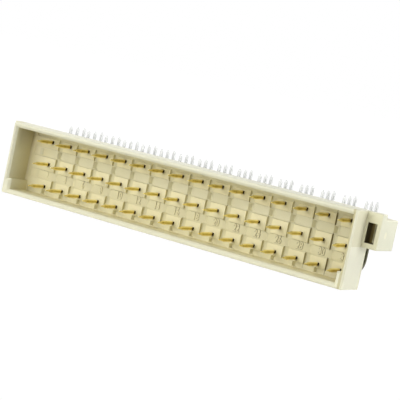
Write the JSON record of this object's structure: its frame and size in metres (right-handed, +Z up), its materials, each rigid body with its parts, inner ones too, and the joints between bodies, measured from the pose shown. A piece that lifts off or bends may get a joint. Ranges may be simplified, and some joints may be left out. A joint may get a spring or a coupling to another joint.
{
  "type": "backplane connector",
  "caption": "Right-angle backplane connector with a keyed shroud round rows of blade contacts, solder tails up and a screw ear at each end.",
  "frame": {"origin": "under the middle of the whole part's bounding box, on the surface that it lies on", "axes": "+X along the length, -Y the way the shroud opens, +Z up along the solder tails"},
  "size_m": [0.094, 0.0174, 0.0172],
  "materials": {
    "housing_plastic": "satin",
    "contact_metal": "polished"
  },
  "bodies": {
    "root": {"housing": "housing_plastic", "contact_top_02": "contact_metal", "contact_top_04": "contact_metal", "contact_top_06": "contact_metal", "contact_top_08": "contact_metal", "contact_top_10": "contact_metal", "contact_top_12": "contact_metal", "contact_top_14": "contact_metal", "contact_top_16": "contact_metal", "contact_top_18": "contact_metal", "contact_top_20": "contact_metal", "contact_top_22": "contact_metal", "contact_top_24": "contact_metal", "contact_top_26": "contact_metal", "contact_top_28": "contact_metal", "contact_top_30": "contact_metal", "contact_top_32": "contact_metal", "contact_middle_02": "contact_metal", "contact_middle_04": "contact_metal", "contact_middle_06": "contact_metal", "contact_middle_08": "contact_metal", "contact_middle_10": "contact_metal", "contact_middle_12": "contact_metal", "contact_middle_14": "contact_metal", "contact_middle_16": "contact_metal", "contact_middle_18": "contact_metal", "contact_middle_20": "contact_metal", "contact_middle_22": "contact_metal", "contact_middle_24": "contact_metal", "contact_middle_26": "contact_metal", "contact_middle_28": "contact_metal", "contact_middle_30": "contact_metal", "contact_middle_32": "contact_metal", "contact_bottom_02": "contact_metal", "contact_bottom_04": "contact_metal", "contact_bottom_06": "contact_metal", "contact_bottom_08": "contact_metal", "contact_bottom_10": "contact_metal", "contact_bottom_12": "contact_metal", "contact_bottom_14": "contact_metal", "contact_bottom_16": "contact_metal", "contact_bottom_18": "contact_metal", "contact_bottom_20": "contact_metal", "contact_bottom_22": "contact_metal", "contact_bottom_24": "contact_metal", "contact_bottom_26": "contact_metal", "contact_bottom_28": "contact_metal", "contact_bottom_30": "contact_metal", "contact_bottom_32": "contact_metal"}
  },
  "joints": []
}
